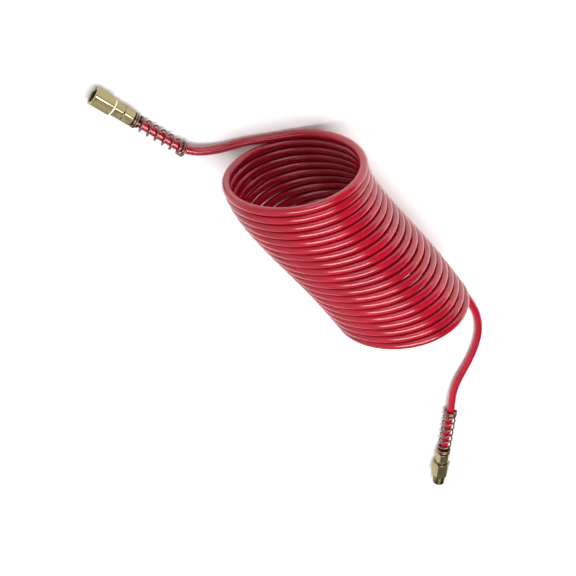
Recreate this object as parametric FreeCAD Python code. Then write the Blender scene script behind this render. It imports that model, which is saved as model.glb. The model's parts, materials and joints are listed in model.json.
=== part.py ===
"""Coiled air hose: a nylon recoil hose lying on its side, with a brass fitting and a
wire spring guard on each end. Millimetres, +Z up, standing on Z = 0.

The coil's turns are vertical rings stacked along +Y, each one pushed a little towards -X,
and its row of rings is slightly bowed.
The inlet end (swivel nut) lies in front on the right, the outlet end (male thread) behind.
Every piece of a fitting is made along +X from the hose end of its guard, then placed.
"""
import FreeCAD
import Part
import math
import os

os.makedirs("parts", exist_ok=True)
Vec = FreeCAD.Vector

# ---------------------------------------------------------------- hose
hose_od = 8.0
hose_id = 6.0
hose_r = hose_od / 2
gap = 0.3                # between solids on different bodies

# ---------------------------------------------------------------- coil
coil_r = 60.0            # centre of the turns to the centre of the hose
turns = 20.02
first_pitch = 8.15       # the turns touch at the inlet end
last_pitch = 8.6         # and stand a little apart at the outlet end
lean = 0.49              # how far each ring is pushed towards -X, per mm of +Y
bow = 8.4                # most that a ring stands back from that lean, a quarter of the way along
coil_x = 0.4             # foot of the first ring; the whole object stands about the origin
coil_y = -184.5
coil_z = coil_r + hose_r
coil_length = turns * (first_pitch + last_pitch) / 2

# ---------------------------------------------------------------- where the two ends lie
axis_height = 8.5        # half across the flats of the largest hexagon, which lies on a flat
inlet_start = Vec(coil_x + 90.5, coil_y - 4.5, axis_height)
inlet_heading = -45.0    # degrees from +X
outlet_start = Vec(coil_x - 127.0, coil_y + 350.5, axis_height)
outlet_heading = 78.5

# ---------------------------------------------------------------- spring guard
guard_length = 57.0
guard_od = 14.4
wire_d = 1.8
guard_pitch = 7.5

# ---------------------------------------------------------------- compression joint, both ends
nut_length = 10.0
nut_flats = 14.0
nut_end = guard_length + nut_length
spigot_length = 7.5                      # the guard's last turns sit on it
spigot_r = guard_od / 2 - wire_d - 0.05
spigot_chamfer = 0.5
hose_hole_r = hose_r + 0.12
hose_end = nut_end + 1.0                 # where the hose stops inside the body
joint_r = 5.85                           # thread between compression nut and body
joint_start = nut_end - 4.6
ferrule_start = guard_length + 2.9
ferrule_length = 2.4
ferrule_r = 5.2
ferrule_slope = 0.7
water_r = 2.4                            # free bore
insert_length = 15.0
insert_flange = 0.8
flange_room = 0.05

# ---------------------------------------------------------------- inlet: swivel nut on a stem
inlet_hex_end = nut_end + 9.5
stem_r = 4.2
stem_end = inlet_hex_end + 7.4
seal_x = inlet_hex_end + 3.0
seal_section_r = 0.48
seal_groove = (1.5, 3.15)                # width and floor radius
clip_x = inlet_hex_end + 5.6
clip_section_r = 0.42
clip_groove = (1.1, 3.75)
washer_t = 1.2
washer_r = 7.5
swivel_flats = 17.0
swivel_start = inlet_hex_end + washer_t + 0.15
swivel_end = swivel_start + 19.5
swivel_bore_r = stem_r + 0.08
clip_room = (1.5, 5.0)                   # width and radius of the swivel nut's inner groove
female_thread_r = 5.95                   # quarter inch pipe thread, at its crests
female_thread_length = 11.0

# ---------------------------------------------------------------- outlet: rigid male body
collar_r = 6.9
collar_end = nut_end + 3.0
outlet_flats = 17.0
outlet_hex_end = collar_end + 16.5
male_thread_r = 6.7                      # quarter inch pipe thread, outside
outlet_end = outlet_hex_end + 12.5
thread_chamfer = 1.0


def arc_through(before, corner, after, cut):
    """The tangent arc at a corner, its two ends and its radius."""
    back = (before - corner).normalize()
    ahead = (after - corner).normalize()
    half_turn = (math.pi - back.getAngle(ahead)) / 2
    radius = cut / math.tan(half_turn)
    start = corner + back * cut
    end = corner + ahead * cut
    inwards = (back + ahead).normalize()
    middle = corner + inwards * (radius / math.cos(half_turn) - radius)
    return Part.Arc(start, middle, end).toShape(), start, end, radius


def route_wire(points, name):
    """Straight runs joined by arcs, each as large as its two runs allow."""
    edges = []
    radii = []
    here = points[0]
    for before, corner, after in zip(points, points[1:], points[2:]):
        cut = 0.45 * min((corner - before).Length, (after - corner).Length)
        arc, start, end, radius = arc_through(before, corner, after, cut)
        edges.append(Part.LineSegment(here, start).toShape())
        edges.append(arc)
        radii.append(round(radius))
        here = end
    edges.append(Part.LineSegment(here, points[-1]).toShape())
    print(name, "radii", radii)
    return Part.Wire(edges)


def pipe(wire, first, second, radius):
    """A solid of round section along a wire that starts from first towards second."""
    section = Part.Wire(Part.makeCircle(radius, first, (second - first).normalize()))
    sweep = Part.BRepOffsetAPI.MakePipeShell(wire)
    sweep.add(section)
    sweep.build()
    sweep.makeSolid()
    return sweep.shape()


def hose_along(points, name):
    """The hollow hose along a route, with its volume compared with section times length."""
    wire = route_wire(points, name)
    outer = pipe(wire, points[0], points[1], hose_od / 2)
    inner = pipe(wire, points[0], points[1], hose_id / 2)
    hose = outer.cut(inner)
    section = math.pi * (hose_od ** 2 - hose_id ** 2) / 4
    ratio = hose.Volume / section / wire.Length
    print(name, "length", round(wire.Length, 1), "volume ratio", round(ratio, 4))
    return hose


def lathe(profile):
    """Turn an outline of (along the axis, radius) pairs about the X axis."""
    corners = [Vec(x, r, 0) for x, r in profile]
    face = Part.Face(Part.makePolygon(corners + corners[:1]))
    return face.revolve(Vec(0, 0, 0), Vec(1, 0, 0), 360)


def sleeve(start, end, inner_r, outer_r):
    """A plain ring between two places on the axis."""
    return lathe([(start, inner_r), (start, outer_r), (end, outer_r), (end, inner_r)])


def hexagon(flats, start, end):
    """A hexagonal bar along X with a flat downwards and its corners turned off at 30 degrees."""
    corner_r = flats / math.sqrt(3)
    face_r = flats / 2 * 0.96
    slope = (corner_r - face_r) * math.tan(math.radians(30))
    angles = [math.radians(60 * i) for i in range(7)]
    corners = [Vec(start, corner_r * math.cos(a), corner_r * math.sin(a)) for a in angles]
    bar = Part.Face(Part.makePolygon(corners)).extrude(Vec(end - start, 0, 0))
    turned = lathe([(start, 0), (start, face_r), (start + slope, corner_r),
                    (end - slope, corner_r), (end, face_r), (end, 0)])
    return bar.common(turned)


def spring_guard():
    """The open wire spring that keeps the hose from kinking where it enters the fitting."""
    wire_r = wire_d / 2
    mean_r = guard_od / 2 - wire_r
    clearance = 0.1
    height = guard_length - wire_d - 2 * clearance
    helix = Part.makeHelix(guard_pitch, height, mean_r)
    climb = Vec(0, 1, guard_pitch / (2 * math.pi * mean_r))
    sweep = Part.BRepOffsetAPI.MakePipeShell(Part.Wire(helix.Edges))
    sweep.setFrenetMode(True)
    sweep.add(Part.Wire(Part.makeCircle(wire_r, Vec(mean_r, 0, 0), climb)))
    sweep.build()
    sweep.makeSolid()
    spring = sweep.shape()
    spring.rotate(Vec(0, 0, 0), Vec(0, 1, 0), 90)
    spring.translate(Vec(wire_r + clearance, 0, 0))
    return spring


def compression_nut():
    """The nut that squeezes the ferrule on the hose; its rear spigot carries the guard."""
    tip = guard_length - spigot_length
    spigot = lathe([(tip, hose_hole_r), (tip, spigot_r - spigot_chamfer), (tip + spigot_chamfer, spigot_r),
                    (guard_length, spigot_r), (guard_length, hose_hole_r)])
    throat = guard_length + 1.5
    cone_end = throat + 1.3
    cavity_r = ferrule_r + 0.1
    cavity = lathe([(guard_length - 1, 0), (guard_length - 1, hose_hole_r), (throat, hose_hole_r),
                    (cone_end, cavity_r), (joint_start - 0.8, cavity_r), (joint_start - 0.8, joint_r),
                    (nut_end + 1, joint_r), (nut_end + 1, 0)])
    nut = spigot.fuse(hexagon(nut_flats, guard_length, nut_end))
    return nut.cut(cavity).removeSplitter()


def ferrule():
    """The soft brass ring between nut and body, sloping at both ends."""
    start = ferrule_start
    end = ferrule_start + ferrule_length
    low_r = ferrule_r - ferrule_slope
    return lathe([(start, hose_r), (start, low_r), (start + ferrule_slope, ferrule_r),
                  (end - ferrule_slope, ferrule_r), (end, low_r), (end, hose_r)])


def hose_insert():
    """The brass tube that backs the hose from inside, with a flange over the hose's end."""
    tip = hose_end - insert_length
    outer_r = hose_id / 2
    flange_end = hose_end + insert_flange
    flange_r = hose_r - 0.1
    return lathe([(tip, water_r), (tip, outer_r - 0.3), (tip + insert_flange, outer_r), (hose_end, outer_r),
                  (hose_end, flange_r), (flange_end, flange_r), (flange_end, water_r)])


def body_socket():
    """The hollow that both bodies have for the hose's end and the insert's flange."""
    socket_end = hose_end + insert_flange + flange_room
    past_end = outlet_end + 1
    return lathe([(joint_start - 1, 0), (joint_start - 1, hose_hole_r), (socket_end, hose_hole_r),
                  (socket_end, water_r), (past_end, water_r), (past_end, 0)])


def inlet_body():
    """Hexagonal body with the grooved stem that the swivel nut turns on."""
    body = sleeve(joint_start, nut_end, 0, joint_r)
    body = body.fuse(hexagon(nut_flats, nut_end, inlet_hex_end))
    chamfer = 0.4
    stem = lathe([(inlet_hex_end, 0), (inlet_hex_end, stem_r), (stem_end - chamfer, stem_r),
                  (stem_end, stem_r - chamfer), (stem_end, 0)])
    body = body.fuse(stem)
    for middle, (width, floor_r) in ((seal_x, seal_groove), (clip_x, clip_groove)):
        body = body.cut(sleeve(middle - width / 2, middle + width / 2, floor_r, stem_r + 1))
    return body.cut(body_socket()).removeSplitter()


def swivel_nut():
    """The nut that turns freely on the stem and takes the supply's pipe thread."""
    thread_end = swivel_end - thread_chamfer
    thread_start = thread_end - female_thread_length
    hollow = lathe([(swivel_start - 1, 0), (swivel_start - 1, swivel_bore_r),
                    (thread_start - 1, swivel_bore_r), (thread_start, female_thread_r),
                    (thread_end, female_thread_r), (swivel_end, female_thread_r + thread_chamfer),
                    (swivel_end + 1, female_thread_r + thread_chamfer), (swivel_end + 1, 0)])
    width, room_r = clip_room
    nut = hexagon(swivel_flats, swivel_start, swivel_end).cut(hollow)
    return nut.cut(sleeve(clip_x - width / 2, clip_x + width / 2, 0, room_r)).removeSplitter()


def thrust_washer():
    """The slippery washer between the body's face and the swivel nut."""
    return sleeve(inlet_hex_end, inlet_hex_end + washer_t, stem_r + 0.1, washer_r)


def seal_ring():
    """The rubber ring that keeps the swivel tight."""
    return Part.makeTorus(seal_groove[1] + seal_section_r + 0.05, seal_section_r, Vec(seal_x, 0, 0), Vec(1, 0, 0))


def retaining_ring():
    """The wire ring that holds the swivel nut on the stem."""
    return Part.makeTorus(clip_groove[1] + clip_section_r + 0.13, clip_section_r, Vec(clip_x, 0, 0), Vec(1, 0, 0))


def outlet_body():
    """Rigid body with a round collar, a large hexagon and a male pipe thread."""
    body = sleeve(joint_start, nut_end, 0, joint_r)
    body = body.fuse(sleeve(nut_end, collar_end, 0, collar_r))
    body = body.fuse(hexagon(outlet_flats, collar_end, outlet_hex_end))
    thread = lathe([(outlet_hex_end, 0), (outlet_hex_end, male_thread_r),
                    (outlet_end - thread_chamfer, male_thread_r),
                    (outlet_end, male_thread_r - thread_chamfer), (outlet_end, 0)])
    return body.fuse(thread).cut(body_socket()).removeSplitter()


def ring_x(distance):
    """Where the centre of a ring is in X, given how far the ring is behind the first one."""
    share = min(max(distance / coil_length, 0), 1)
    return coil_x - lean * distance + bow * share * (1 - share) ** 3 * 256 / 27


def coil_end():
    """Where the hose leaves the last ring, and the direction in which it does."""
    angle = math.radians(-90 - 360 * turns)
    place_on_ring = Vec(ring_x(coil_length) + coil_r * math.cos(angle),
                        coil_y + coil_length,
                        coil_z + coil_r * math.sin(angle))
    round_the_ring = 2 * math.pi * coil_r
    direction = Vec(round_the_ring * math.sin(angle) - lean * last_pitch, last_pitch,
                    -round_the_ring * math.cos(angle))
    return place_on_ring, direction.normalize()


def drum(radius):
    """A round drum over the whole coil that follows the lean and the bow of its rings."""
    stations = 12
    rings = []
    for i in range(stations + 1):
        distance = -hose_r + (coil_length + hose_od) * i / stations
        centre = Vec(ring_x(distance), coil_y + distance, coil_z)
        rings.append(Part.Wire(Part.makeCircle(radius, centre, Vec(0, 1, 0))))
    return Part.makeLoft(rings, True)


def coil_solid():
    """The coil's outer shape: a leaning hollow drum, with a notch where each tail leaves it."""
    front = coil_y - hose_r
    outside = drum(coil_r + hose_r)
    inside = drum(coil_r - hose_r)
    below = -1.0
    inlet_notch = Part.makeBox(coil_r, hose_od + gap, hose_od + gap - below, Vec(coil_x, front, below))
    last, _ = coil_end()
    clear = 3 * gap
    outlet_notch = Part.makeBox(coil_r, 2 * hose_od, 2 * hose_od,
                                Vec(last.x + clear - coil_r, last.y - hose_r - clear, below))
    return outside.cut(inside).cut(inlet_notch).cut(outlet_notch)


def point_along(start, heading, distance):
    """A point of a fitting's axis."""
    turn = math.radians(heading)
    return start + Vec(math.cos(turn), math.sin(turn), 0) * distance


def place(shape, start, heading):
    """Put a shape that was made along +X on a fitting's axis."""
    moved = shape.copy()
    turn = FreeCAD.Placement(start, FreeCAD.Rotation(Vec(0, 0, 1), heading))
    moved.Placement = turn.multiply(moved.Placement)
    return moved


def save(name, shape):
    """Write one node and say what it is."""
    print(f"{name:24s} solids {len(shape.Solids)} valid {shape.isValid()} volume {shape.Volume:9.1f}")
    shape.exportStep(f"parts/{name}.step")


# The inlet tail runs along the floor, then bends into its guard and fitting.
inlet_route = [
    Vec(coil_x, coil_y, hose_r),
    Vec(coil_x + 20, coil_y, hose_r),
    Vec(coil_x + 40, coil_y - 0.4, 4.2),
    Vec(coil_x + 63, coil_y + 2.4, 5.5),
    point_along(inlet_start, inlet_heading, -3),
    point_along(inlet_start, inlet_heading, hose_end),
]

# The outlet tail leaves the foot of the last ring and curves over the floor to its guard.
leave, leave_direction = coil_end()
outlet_route = [
    leave,
    leave + leave_direction * 25,
    Vec(coil_x - 136, coil_y + 182, 6.8),
    Vec(coil_x - 152, coil_y + 211, 5.0),
    Vec(coil_x - 162.5, coil_y + 238, 4.2),
    Vec(coil_x - 162, coil_y + 263, 4.1),
    Vec(coil_x - 152, coil_y + 290, 4.3),
    Vec(coil_x - 132.5, coil_y + 322, 6.0),
    point_along(outlet_start, outlet_heading, -4),
    point_along(outlet_start, outlet_heading, hose_end),
]

save("hose_coil", coil_solid())
save("inlet_tail", hose_along(inlet_route, "inlet_tail"))
save("outlet_tail", hose_along(outlet_route, "outlet_tail"))

# Both ends hold the hose the same way; only their bodies differ.
compression_joint = {
    "spring_guard": spring_guard,
    "compression_nut": compression_nut,
    "ferrule": ferrule,
    "hose_insert": hose_insert,
}
inlet_only = {
    "fitting_body": inlet_body,
    "swivel_nut": swivel_nut,
    "thrust_washer": thrust_washer,
    "seal_ring": seal_ring,
    "retaining_ring": retaining_ring,
}
outlet_only = {"fitting_body": outlet_body}
for piece, make in {**compression_joint, **inlet_only}.items():
    save(f"inlet_{piece}", place(make(), inlet_start, inlet_heading))
for piece, make in {**compression_joint, **outlet_only}.items():
    save(f"outlet_{piece}", place(make(), outlet_start, outlet_heading))
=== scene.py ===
import json
import math

import bmesh
import bpy
from mathutils import Matrix, Vector


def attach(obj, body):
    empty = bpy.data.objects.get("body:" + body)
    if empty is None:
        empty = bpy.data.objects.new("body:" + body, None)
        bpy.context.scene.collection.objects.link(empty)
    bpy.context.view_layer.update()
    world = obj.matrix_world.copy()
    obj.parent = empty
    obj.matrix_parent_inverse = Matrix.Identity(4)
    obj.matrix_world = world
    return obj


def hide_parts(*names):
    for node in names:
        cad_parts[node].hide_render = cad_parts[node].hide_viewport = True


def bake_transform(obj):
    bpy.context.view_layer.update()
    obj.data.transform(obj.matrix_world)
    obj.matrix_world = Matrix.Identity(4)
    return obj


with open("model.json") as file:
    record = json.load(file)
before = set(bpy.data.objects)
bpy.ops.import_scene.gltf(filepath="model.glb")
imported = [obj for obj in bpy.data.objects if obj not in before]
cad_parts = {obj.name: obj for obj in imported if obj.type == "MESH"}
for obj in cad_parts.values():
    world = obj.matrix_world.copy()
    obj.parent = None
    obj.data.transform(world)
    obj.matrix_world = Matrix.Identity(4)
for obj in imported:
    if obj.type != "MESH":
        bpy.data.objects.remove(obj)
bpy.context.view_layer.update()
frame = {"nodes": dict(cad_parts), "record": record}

# A coiled air hose on a pale floor: one red nylon hose, with a wire spring guard and a brass
# fitting on each end. Lengths are written in millimetres and turned into metres by MM.
MM = 0.001
FULL_TURN = 2 * math.pi

# ---------------------------------------------------------------- hose
hose_d = 8.0
hose_r = hose_d / 2
hose_sides = 20
coil_r = 60.0
coil_z = coil_r + hose_r
turns = 20.02
first_pitch = 8.15
last_pitch = 8.6
lean = 0.49                             # how far the rings step aside per millimetre along the coil
bow = 8.4                               # most that a ring stands out from that lean
bow_peak = 27 / 256                     # the largest share * (1 - share) ** 3
foot_turn = 0.25                        # a ring's foot is a quarter turn on from its +X side
coil_length = turns * (first_pitch + last_pitch) / 2
coil_points = 480
hose_end = 68.0
inlet_bend = -3.0
inlet_straight = 23.0
outlet_bend = -4.0
outlet_straight = 25.0

# ---------------------------------------------------------------- fittings, along their axis
guard_length = 57.0
guard_od = 14.4
guard_play = 0.1
wire_d = 1.8
wire_sides = 14
closed_turns = 1.75
opening_turns = 0.5
open_turns = 6.4
closed_pitch = wire_d * 1.02            # closed turns all but touch
open_pitch = 7.5
nut_flats = 14.0
nut_end = 67.0
spigot_start = 49.5
spigot_r = 5.35
hose_hole_r = 4.12
water_r = 2.4
inlet_hex_end = 76.5
stem_r = 4.2
stem_end = 83.9
grooves = ((78.75, 80.25, 3.15), (81.55, 82.65, 3.75))
big_flats = 17.0
swivel_start = 77.85
swivel_end = 97.35
swivel_bore_r = 4.28
female_crest_r = 5.95
female_start = 85.35
female_run_out = 1.0
collar_r = 6.9
collar_end = 70.0
outlet_hex_end = 86.5
male_crest_r = 6.7
male_taper = 0.3
relief_length = 0.6
male_run_in = 1.0
outlet_end = 99.0
bore_chamfer = 0.4
thread_pitch = 1.337
thread_depth = 0.72
thread_flank = 2.6                      # how steep a flank is: crest to root in 1 / 2.6 of a pitch
thread_steps = 12                       # stations per pitch
thread_chamfer = 1.0
hex_corner_share = 0.985                # of the full corner radius, once the corners are turned off
hex_face_share = 0.96                   # of the flat's radius, where the 30 degree chamfer starts
edge = 0.16
bar_sides = 96

# ---------------------------------------------------------------- where the ends lie
mounts = {mount["name"]: mount for mount in frame["record"]["mounts"]}
thread_middle = {
    "inlet": (female_start + swivel_end - thread_chamfer) / 2,
    "outlet": (outlet_hex_end + outlet_end - thread_chamfer) / 2,
}
inlet_from_foot = (90.5, -4.5, 8.5)


def end_axis(end):
    """The hose end of a guard and its fitting's direction, from the thread's mount."""
    mount = mounts[end + "_thread"]
    direction = Vector(mount["axis"]).normalized()
    return Vector(mount["pos_m"]) - direction * thread_middle[end] * MM, direction


inlet_start, inlet_direction = end_axis("inlet")
outlet_start, outlet_direction = end_axis("outlet")
ends = {"inlet": (inlet_start, inlet_direction), "outlet": (outlet_start, outlet_direction)}
foot = inlet_start - Vector(inlet_from_foot) * MM       # floor under the first ring


def from_foot(x, y, z):
    """A point given in millimetres from the foot of the first ring."""
    return foot + Vector((x, y, z)) * MM


def along(start, direction, distance):
    """A point of a fitting's axis."""
    return start + direction * distance * MM


# ---------------------------------------------------------------- lines
def ring_point(turn, radius):
    """A point of the coil's helix, counted in turns from the foot of the first ring."""
    advance = first_pitch * turn + (last_pitch - first_pitch) * turn ** 2 / (2 * turns)
    share = advance / coil_length
    sideways = bow * share * (1 - share) ** 3 / bow_peak - lean * advance
    angle = -FULL_TURN * (turn + foot_turn)
    return from_foot(radius * math.cos(angle) + sideways, advance, coil_z + radius * math.sin(angle))


def coil_route():
    """Control points of the turns. They stand outside the helix, so that the curve lies on it."""
    step = turns / coil_points
    outside = coil_r / math.cos(math.pi * step)
    return [ring_point((i + 0.5) * step, outside) for i in range(coil_points)]


def leaving():
    """Where the hose leaves the last ring, and its direction there."""
    angle = -FULL_TURN * (turns + foot_turn)
    round_ring = FULL_TURN * coil_r
    direction = Vector((round_ring * math.sin(angle) - lean * last_pitch, last_pitch,
                        -round_ring * math.cos(angle)))
    return ring_point(turns, coil_r), direction.normalized()


last_foot, last_direction = leaving()
inlet_route = [
    along(inlet_start, inlet_direction, hose_end),
    along(inlet_start, inlet_direction, inlet_straight),
    along(inlet_start, inlet_direction, inlet_bend),
    from_foot(63, 2.4, 5.5),
    from_foot(40, -0.4, 4.2),
    from_foot(20, 0, 4.0),
]
outlet_route = [
    along(last_foot, last_direction, 25),
    from_foot(-136, 182, 6.8),
    from_foot(-152, 211, 5.0),
    from_foot(-162.5, 238, 4.2),
    from_foot(-162, 263, 4.1),
    from_foot(-152, 290, 4.3),
    from_foot(-132.5, 322, 6.0),
    along(outlet_start, outlet_direction, outlet_bend),
    along(outlet_start, outlet_direction, outlet_straight),
    along(outlet_start, outlet_direction, hose_end),
]


def smooth_line(points):
    """The points of a smooth line that has the given control points."""
    curve = bpy.data.curves.new("line", "CURVE")
    curve.dimensions = "3D"
    spline = curve.splines.new("NURBS")
    spline.points.add(len(points) - 1)
    for point, place in zip(spline.points, points):
        point.co = (*place, 1)
    spline.order_u = 3
    spline.use_endpoint_u = True
    spline.resolution_u = 6
    holder = bpy.data.objects.new("line", curve)
    bpy.context.scene.collection.objects.link(holder)
    mesh = bpy.data.meshes.new_from_object(holder)
    line = [vertex.co.copy() for vertex in mesh.vertices]
    bpy.data.objects.remove(holder)
    return line


def smoothstep(value):
    """0 below 0, 1 above 1, and a soft step between."""
    value = min(max(value, 0.0), 1.0)
    return value * value * (3 - 2 * value)


def guard_line():
    """Centre line of a guard along +X, in millimetres: closed turns at its ends, open ones between."""
    steps_per_turn = 40
    total = 2 * closed_turns + open_turns
    mean_r = (guard_od - wire_d) / 2
    heights = [0.0]
    for i in range(int(total * steps_per_turn)):
        turn = (i + 0.5) / steps_per_turn
        opening = smoothstep((turn - closed_turns) / opening_turns)
        opening *= smoothstep((total - closed_turns - turn) / opening_turns)
        pitch = closed_pitch + (open_pitch - closed_pitch) * opening
        heights.append(heights[-1] + pitch / steps_per_turn)
    fit = (guard_length - wire_d - 2 * guard_play) / heights[-1]
    line = []
    for i, height in enumerate(heights):
        angle = FULL_TURN * i / steps_per_turn
        x = wire_d / 2 + guard_play + height * fit
        line.append(Vector((x, mean_r * math.cos(angle), mean_r * math.sin(angle))))
    return line


# ---------------------------------------------------------------- meshes
def new_piece(name, vertices, faces, material, smooth_angle=30):
    """A mesh object of one material, its normals turned outwards, smooth but for its sharp edges."""
    mesh = bpy.data.meshes.new(name)
    mesh.from_pydata(vertices, [], faces)
    work = bmesh.new()
    work.from_mesh(mesh)
    bmesh.ops.recalc_face_normals(work, faces=work.faces)
    work.to_mesh(mesh)
    work.free()
    mesh.shade_smooth()
    mesh.set_sharp_from_angle(angle=math.radians(smooth_angle))
    mesh.materials.append(material)
    piece = bpy.data.objects.new(name, mesh)
    bpy.context.scene.collection.objects.link(piece)
    return piece


def sections(line):
    """A (centre, side, other side) frame at each point of a line, carried along without twist."""
    frames = []
    side = None
    for i, centre in enumerate(line):
        ahead = (line[min(i + 1, len(line) - 1)] - line[max(i - 1, 0)]).normalized()
        if side is None:
            side = ahead.orthogonal()
        side = (side - ahead * side.dot(ahead)).normalized()
        frames.append((centre, side, ahead.cross(side)))
    return frames


def tube(name, line, radius, sides, material):
    """A round tube along a line, closed at both ends, with its length in the UV map's V."""
    vertices = []
    for centre, side, other in sections(line):
        for k in range(sides):
            angle = FULL_TURN * k / sides
            vertices.append(centre + (side * math.cos(angle) + other * math.sin(angle)) * radius)
    faces = []
    for i in range(len(line) - 1):
        for k in range(sides):
            near, far = i * sides, (i + 1) * sides
            after = (k + 1) % sides
            faces.append((near + k, near + after, far + after, far + k))
    faces.append(tuple(range(sides)))
    faces.append(tuple(range(len(vertices) - sides, len(vertices))))
    piece = new_piece(name, vertices, faces, material, smooth_angle=60)
    walked = [0.0]
    for here, there in zip(line, line[1:]):
        walked.append(walked[-1] + (there - here).length)
    uv_map = piece.data.uv_layers.new(name="length")
    for polygon in piece.data.polygons:
        wraps = any(piece.data.loops[i].vertex_index % sides == 0 for i in polygon.loop_indices)
        for i in polygon.loop_indices:
            index = piece.data.loops[i].vertex_index
            around = index % sides
            if wraps and around > sides / 2:
                around -= sides
            uv_map.data[i].uv = (around / sides, walked[index // sides])
    return piece


def round_bar(x, r, angle):
    """A round station keeps its radius all the way round."""
    return r


def hex_bar(flats):
    """A station cut from hexagonal bar with a flat downwards; its corners are turned off a little."""
    corner = flats / math.sqrt(3) * hex_corner_share

    def shape(x, r, angle):
        from_flat = math.fmod(angle, math.pi / 3) - math.pi / 6
        return min(r, corner, flats / 2 / math.cos(from_flat))
    return shape


def threaded(start, end, sense):
    """A station cut by a V thread: sense -1 cuts into an outside, +1 into a bore."""
    def shape(x, r, angle):
        phase = (x / thread_pitch - angle / FULL_TURN) % 1
        wave = min(1.0, thread_flank * min(phase, 1 - phase))
        fade = smoothstep((x - start) / thread_pitch) * smoothstep((end - x) / thread_pitch)
        return r + sense * thread_depth * (1 - wave) * fade
    return shape


def turned(name, outline, material):
    """A piece along +X from a closed outline of (x, radius, shape) stations, in millimetres."""
    vertices = []
    for x, r, shape in outline:
        for k in range(bar_sides):
            angle = FULL_TURN * k / bar_sides
            radius = shape(x, r, angle) * MM
            vertices.append((x * MM, radius * math.cos(angle), radius * math.sin(angle)))
    faces = []
    for i in range(len(outline)):
        for k in range(bar_sides):
            near, far = i * bar_sides, (i + 1) % len(outline) * bar_sides
            after = (k + 1) % bar_sides
            faces.append((near + k, near + after, far + after, far + k))
    return new_piece(name, vertices, faces, material)


def cut_back(corner, other):
    """The round station where a small chamfer of an (x, radius) corner meets the line to another one."""
    here = Vector(corner)
    away = Vector(other) - here
    cut = here + away.normalized() * min(edge, away.length / 3)
    return cut.x, cut.y, round_bar


def broken_edges(corners):
    """Round stations for (x, radius) corners in order, each corner cut by a small chamfer."""
    stations = []
    for i, corner in enumerate(corners):
        stations.append(cut_back(corner, corners[i - 1]))
        stations.append(cut_back(corner, corners[(i + 1) % len(corners)]))
    return stations


def hex_stations(flats, start, end):
    """Stations of a hexagon between its two faces, chamfered at 30 degrees."""
    shape = hex_bar(flats)
    corner = flats / math.sqrt(3)
    face_r = flats / 2 * hex_face_share
    slope = (corner - face_r) * math.tan(math.radians(30))
    steps = 8
    rise = [(slope * i / steps, face_r + (corner - face_r) * i / steps) for i in range(steps + 1)]
    front = [(start + x, r, shape) for x, r in rise]
    back = [(end - x, r, shape) for x, r in reversed(rise)]
    return front + back


def thread_stations(start, end, crest_r, sense, taper):
    """Stations of a threaded stretch from start to end, narrowing by taper on the way."""
    shape = threaded(min(start, end), max(start, end), sense)
    steps = round(abs(end - start) / thread_pitch * thread_steps)
    stations = []
    for i in range(steps + 1):
        share = i / steps
        stations.append((start + (end - start) * share, crest_r - taper * share, shape))
    return stations


def compression_nut_outline():
    """The nut, with the spigot that carries the guard. Its back face is dished by a small edge."""
    mouth = (spigot_start, hose_hole_r)
    tip = (spigot_start, spigot_r)
    root = (guard_length, spigot_r)
    back = (nut_end, hose_hole_r)
    spigot = [cut_back(mouth, tip), cut_back(tip, mouth), cut_back(tip, root), cut_back(root, tip),
              cut_back(root, (guard_length, hose_hole_r))]
    bore = [cut_back(back, (0, 0)), cut_back(back, mouth), cut_back(mouth, back)]
    return spigot + hex_stations(nut_flats, guard_length, nut_end) + bore


def inlet_body_outline():
    """The hexagon and the stem with its two grooves."""
    stem = [(inlet_hex_end, stem_r)]
    for start, end, floor_r in grooves:
        stem += [(start, stem_r), (start, floor_r), (end, floor_r), (end, stem_r)]
    stem += [(stem_end, stem_r), (stem_end, water_r), (nut_end, water_r)]
    # The line's two ends meet the hexagon, so each keeps only its cut along the stem or the bore.
    return hex_stations(nut_flats, nut_end, inlet_hex_end) + broken_edges(stem)[1:-1]


def swivel_outline():
    """The free-turning nut: hexagonal outside, threaded inside."""
    mouth = swivel_end - thread_chamfer
    wide = female_crest_r + thread_chamfer
    outside = hex_stations(big_flats, swivel_start, swivel_end)
    lip = [(swivel_end, wide + edge, round_bar), (swivel_end - edge, wide - edge / 2, round_bar)]
    thread = thread_stations(mouth, female_start, female_crest_r, 1, 0)
    bore_end = female_start - female_run_out
    bore = [(bore_end, swivel_bore_r + edge, round_bar), (bore_end - edge, swivel_bore_r, round_bar),
            (swivel_start + edge, swivel_bore_r, round_bar), (swivel_start, swivel_bore_r + edge, round_bar)]
    return outside + lip + thread + bore


def outlet_body_outline():
    """The rigid body: collar, large hexagon and male thread."""
    collar = [(nut_end, collar_r - edge, round_bar), (nut_end + edge, collar_r, round_bar),
              (collar_end - edge, collar_r, round_bar), (collar_end, collar_r - edge, round_bar)]
    relief = [(outlet_hex_end, male_crest_r - thread_depth, round_bar),
              (outlet_hex_end + relief_length, male_crest_r - thread_depth, round_bar)]
    thread = thread_stations(outlet_hex_end + male_run_in, outlet_end - thread_chamfer, male_crest_r,
                             -1, male_taper)
    tip_r = male_crest_r - male_taper - thread_chamfer
    tip = [(outlet_end, tip_r, round_bar), (outlet_end, water_r + bore_chamfer, round_bar),
           (outlet_end - bore_chamfer, water_r, round_bar), (nut_end + bore_chamfer / 2, water_r, round_bar),
           (nut_end, water_r + bore_chamfer / 2, round_bar)]
    return collar + hex_stations(big_flats, collar_end, outlet_hex_end) + relief + thread + tip


# ---------------------------------------------------------------- materials
noise_low = 0.3                         # nearly all noise values lie between these two
noise_high = 0.7
shade_r = 6.0                            # brass is painted dark within this radius, as painted shade in bores and thread roots, and left at its own colour beyond this one
unshaded_r = 6.7                          # and as bright as its surface beyond this one


def start_material(name):
    """A new material with its node tree and its Principled shader."""
    material = bpy.data.materials.new(name)
    material.use_nodes = True
    tree = material.node_tree
    return material, tree, tree.nodes["Principled BSDF"]


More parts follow.
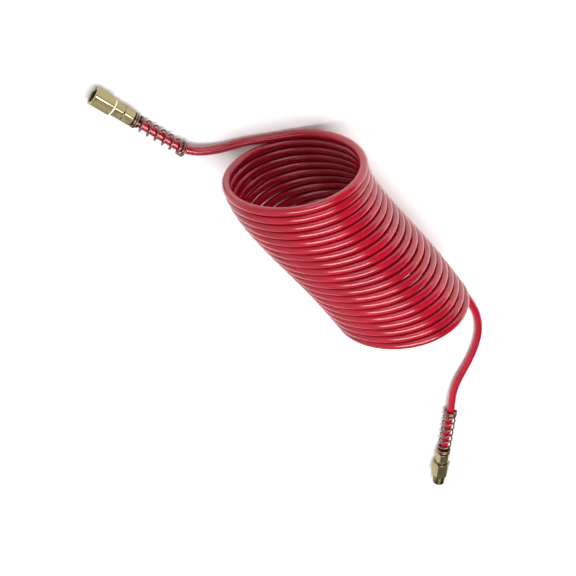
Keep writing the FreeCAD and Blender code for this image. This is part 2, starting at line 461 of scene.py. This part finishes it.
def coordinates(tree, kind, scale):
    """Texture coordinates of one kind, scaled along each axis."""
    source = tree.nodes.new("ShaderNodeTexCoord")
    mapping = tree.nodes.new("ShaderNodeMapping")
    mapping.inputs["Scale"].default_value = scale
    tree.links.new(source.outputs[kind], mapping.inputs["Vector"])
    return mapping.outputs["Vector"]


def noise(tree, vector, scale, detail=4.0):
    """A noise value on the given coordinates."""
    node = tree.nodes.new("ShaderNodeTexNoise")
    node.inputs["Scale"].default_value = scale
    node.inputs["Detail"].default_value = detail
    tree.links.new(vector, node.inputs["Vector"])
    return node.outputs["Fac"]


def ramp(tree, value, *stops):
    """A colour ramp of (position, colour) stops."""
    node = tree.nodes.new("ShaderNodeValToRGB")
    elements = node.color_ramp.elements
    while len(elements) < len(stops):
        elements.new(0.5)
    for element, (position, colour) in zip(elements, stops):
        element.position = position
        element.color = (*colour, 1)
    tree.links.new(value, node.inputs["Fac"])
    return node.outputs["Color"]


def spread(tree, value, low, high):
    """A noise value stretched to run from low to high."""
    node = tree.nodes.new("ShaderNodeMapRange")
    node.inputs["From Min"].default_value = noise_low
    node.inputs["From Max"].default_value = noise_high
    node.inputs["To Min"].default_value = low
    node.inputs["To Max"].default_value = high
    tree.links.new(value, node.inputs["Value"])
    return node.outputs["Result"]


def bump(tree, shader, height, strength, distance):
    """Fine relief on the shader's normal."""
    node = tree.nodes.new("ShaderNodeBump")
    node.inputs["Strength"].default_value = strength
    node.inputs["Distance"].default_value = distance
    tree.links.new(height, node.inputs["Height"])
    tree.links.new(node.outputs["Normal"], shader.inputs["Normal"])


def red_nylon():
    """Extruded nylon: deep glossy red, a little cloudy, with faint lines along the tube."""
    material, tree, shader = start_material("red_nylon")
    cloudy = noise(tree, coordinates(tree, "Object", (1, 1, 1)), 45.0)
    colour = ramp(tree, cloudy, (0.3, (0.27, 0.0002, 0.010)), (0.7, (0.36, 0.0006, 0.017)))
    tree.links.new(colour, shader.inputs["Base Color"])
    lines = noise(tree, coordinates(tree, "UV", (30, 12, 1)), 1.0)
    tree.links.new(spread(tree, lines, 0.16, 0.26), shader.inputs["Roughness"])
    bump(tree, shader, lines, 0.12, 0.0002)
    shader.inputs["Subsurface Weight"].default_value = 0.65
    shader.inputs["Subsurface Radius"].default_value = (1.0, 0.03, 0.05)
    shader.inputs["Subsurface Scale"].default_value = 0.006
    shader.inputs["Coat Weight"].default_value = 0.2
    shader.inputs["Coat Roughness"].default_value = 0.12
    return material


def turned_brass():
    """Brass cut from bar: turning lines round the axis, cloudy tarnish, and painted shade darkening its
    bores and thread roots.
    """
    material, tree, shader = start_material("turned_brass")
    cloudy = noise(tree, coordinates(tree, "Object", (0.4, 1, 1)), 130.0)
    colour = ramp(tree, cloudy, (0.3, (0.27, 0.22, 0.11)), (0.55, (0.34, 0.29, 0.15)),
                  (0.8, (0.42, 0.36, 0.20)))
    # Painted shade: the colour is scaled down towards the axis, so bores, thread roots and the stem look
    # shaded.
    from_axis = tree.nodes.new("ShaderNodeVectorMath")
    from_axis.operation = "LENGTH"
    tree.links.new(coordinates(tree, "Object", (0, 1, 1)), from_axis.inputs["Vector"])
    bore_shade = tree.nodes.new("ShaderNodeMapRange")
    bore_shade.inputs["From Min"].default_value = shade_r * MM
    bore_shade.inputs["From Max"].default_value = unshaded_r * MM
    bore_shade.inputs["To Min"].default_value = 0.12
    tree.links.new(from_axis.outputs["Value"], bore_shade.inputs["Value"])
    shaded_colour = tree.nodes.new("ShaderNodeVectorMath")
    shaded_colour.operation = "SCALE"
    tree.links.new(colour, shaded_colour.inputs["Vector"])
    tree.links.new(bore_shade.outputs["Result"], shaded_colour.inputs["Scale"])
    tree.links.new(shaded_colour.outputs["Vector"], shader.inputs["Base Color"])
    tree.links.new(spread(tree, cloudy, 0.13, 0.24), shader.inputs["Roughness"])
    lines = noise(tree, coordinates(tree, "Object", (6000, 60, 60)), 1.0, 2.0)
    bump(tree, shader, lines, 0.12, 0.00003)
    shader.inputs["Metallic"].default_value = 1.0
    return material


def spring_wire():
    """Drawn and plated wire with fine draw lines: dull metal whose dark reddish brown colour is partly
    painted reflection of the red hose inside.
    """
    material, tree, shader = start_material("spring_wire")
    cloudy = noise(tree, coordinates(tree, "Object", (1, 1, 1)), 300.0)
    # Painted reflection: the reddish brown tint stands in for the red hose reflected in the wire, over its
    # own dull metal tone.
    colour = ramp(tree, cloudy, (0.3, (0.20, 0.11, 0.09)), (0.7, (0.30, 0.18, 0.15)))
    tree.links.new(colour, shader.inputs["Base Color"])
    lines = noise(tree, coordinates(tree, "UV", (40, 60, 1)), 1.0)
    tree.links.new(spread(tree, lines, 0.24, 0.42), shader.inputs["Roughness"])
    bump(tree, shader, lines, 0.2, 0.00005)
    shader.inputs["Metallic"].default_value = 1.0
    return material


def moulded(name, dark, light, roughness):
    """A moulded plastic or rubber surface with a faint mottle."""
    material, tree, shader = start_material(name)
    mottle = noise(tree, coordinates(tree, "Object", (1, 1, 1)), 900.0)
    tree.links.new(ramp(tree, mottle, (0.35, dark), (0.65, light)), shader.inputs["Base Color"])
    tree.links.new(spread(tree, mottle, roughness, roughness + 0.12), shader.inputs["Roughness"])
    bump(tree, shader, mottle, 0.15, 0.00005)
    return material


def pale_floor():
    """Matt white floor with the faintest mottle."""
    material, tree, shader = start_material("pale_floor")
    mottle = noise(tree, coordinates(tree, "Object", (1, 1, 1)), 3.0)
    colour = ramp(tree, mottle, (0.3, (0.90, 0.90, 0.90)), (0.7, (0.93, 0.93, 0.93)))
    tree.links.new(colour, shader.inputs["Base Color"])
    shader.inputs["Roughness"].default_value = 0.9
    shader.inputs["Specular IOR Level"].default_value = 0.1
    return material


# ---------------------------------------------------------------- the object
nylon = red_nylon()
brass = turned_brass()
wire = spring_wire()


def make_hose():
    """The whole hose as one cord, a tube along both tails and the coil."""
    line = smooth_line(inlet_route + coil_route() + outlet_route)
    hose = tube("air_hose", line, hose_r * MM, hose_sides, nylon)
    vertices = hose.data.vertices
    places = [vertex.co.copy() for vertex in vertices]
    for vertex in vertices:
        vertex.co = line[vertex.index // hose_sides]
    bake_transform(hose)
    for vertex, place in zip(vertices, places):
        vertex.co = place
    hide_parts("hose_coil", "inlet_tail", "outlet_tail")
    return hose, line


def fit_on(piece, end, body, node):
    """Put a piece made along +X on an end's axis, in place of a CAD node."""
    start, direction = ends[end]
    heading = math.atan2(direction.y, direction.x)
    piece.matrix_world = Matrix.Translation(start) @ Matrix.Rotation(heading, 4, "Z")
    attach(piece, body)
    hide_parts(node)
    return piece


def make_guard(end):
    """The wire spring over the hose at one end."""
    line = [point * MM for point in guard_line()]
    guard = tube(end + "_guard_wire", line, wire_d / 2 * MM, wire_sides, wire)
    return fit_on(guard, end, end + "_end", end + "_spring_guard")


def make_brass(name, outline, end, body, node):
    """One turned brass piece on an end's axis."""
    piece = turned(name, outline, brass)
    return fit_on(piece, end, body, node)


air_hose, hose_line = make_hose()
on_hose = [make_guard("inlet"), make_guard("outlet")]
for end in ends:
    on_hose.append(make_brass(end + "_nut", compression_nut_outline(), end, end + "_end",
                              end + "_compression_nut"))
on_hose.append(make_brass("inlet_body", inlet_body_outline(), "inlet", "inlet_end", "inlet_fitting_body"))
on_hose.append(make_brass("inlet_swivel", swivel_outline(), "inlet", "swivel", "inlet_swivel_nut"))
on_hose.append(make_brass("outlet_body", outlet_body_outline(), "outlet", "outlet_end",
                          "outlet_fitting_body"))

small_pieces = {
    "inlet_ferrule": brass,
    "outlet_ferrule": brass,
    "inlet_hose_insert": brass,
    "outlet_hose_insert": brass,
    "inlet_retaining_ring": wire,
    "inlet_thrust_washer": moulded("washer_plastic", (0.74, 0.71, 0.58), (0.84, 0.81, 0.69), 0.35),
    "inlet_seal_ring": moulded("seal_rubber", (0.015, 0.015, 0.015), (0.04, 0.04, 0.04), 0.45),
}
for node, material in small_pieces.items():
    shown = frame["nodes"][node]
    shown.data.materials.clear()
    shown.data.materials.append(material)
    on_hose.append(shown)


# ---------------------------------------------------------------- floor, light and camera
def make_floor():
    """A wide plain floor."""
    half = 40.0
    corners = [(-half, -half, 0), (half, -half, 0), (half, half, 0), (-half, half, 0)]
    floor = new_piece("floor", corners, [(0, 1, 2, 3)], pale_floor())


def make_light(name, place, aim, width, depth, power):
    """A rectangular soft light at one place, turned towards another, its width level and nearest to X."""
    lamp = bpy.data.lights.new(name, "AREA")
    lamp.shape = "RECTANGLE"
    lamp.size = width
    lamp.size_y = depth
    lamp.energy = power
    holder = bpy.data.objects.new(name, lamp)
    bpy.context.scene.collection.objects.link(holder)
    back = (Vector(place) - Vector(aim)).normalized()
    looks_down = back.z > math.cos(math.radians(45))
    across = Vector((0, 1, 0) if looks_down else (0, 0, 1)).cross(back).normalized()
    turn = Matrix((across, back.cross(across), back)).transposed().to_4x4()
    holder.matrix_world = Matrix.Translation(place) @ turn


def make_sky():
    """Soft surroundings, dim on the left of the object (-X) and brighter on its right (+X)."""
    world = bpy.data.worlds.new("studio")
    world.use_nodes = True
    bpy.context.scene.world = world
    tree = world.node_tree
    source = tree.nodes.new("ShaderNodeTexCoord")
    split = tree.nodes.new("ShaderNodeSeparateXYZ")
    tree.links.new(source.outputs["Generated"], split.inputs["Vector"])
    side = tree.nodes.new("ShaderNodeMapRange")
    side.inputs["From Min"].default_value = -1.0
    tree.links.new(split.outputs["X"], side.inputs["Value"])
    colour = ramp(tree, side.outputs["Result"], (0.3, (0.13, 0.13, 0.13)), (0.9, (0.8, 0.8, 0.8)))
    background = tree.nodes["Background"]
    tree.links.new(colour, background.inputs["Color"])
    background.inputs["Strength"].default_value = 1.0


def make_camera():
    """Looks down on the hose from the inlet side, rolled almost upside down."""
    azimuth, elevation, roll = math.radians(2.337), math.radians(54.408), math.radians(168.16)
    distance = 1365.7 * MM
    target = Vector((20.3, -37.4, 30)) * MM
    back = Vector((math.sin(azimuth) * math.cos(elevation), -math.cos(azimuth) * math.cos(elevation),
                   math.sin(elevation)))
    level = Vector((math.cos(azimuth), math.sin(azimuth), 0))
    up = back.cross(level)
    right = level * math.cos(roll) + up * math.sin(roll)
    top = up * math.cos(roll) - level * math.sin(roll)
    camera = bpy.data.objects.new("camera", bpy.data.cameras.new("camera"))
    bpy.context.scene.collection.objects.link(camera)
    turn = Matrix((right, top, back)).transposed().to_4x4()
    camera.matrix_world = Matrix.Translation(target + back * distance) @ turn
    camera.data.lens = 91.16
    bpy.context.scene.camera = camera


make_floor()
make_sky()
make_light("softbox", (-0.30, 0.02, 1.5), (0, 0, 0.06), 1.7, 0.6, 38)
make_light("front", (-0.5, -1.6, 0.9), (0, 0, 0.06), 1.0, 1.0, 8)
make_camera()
bpy.context.scene.view_settings.view_transform = "Standard"
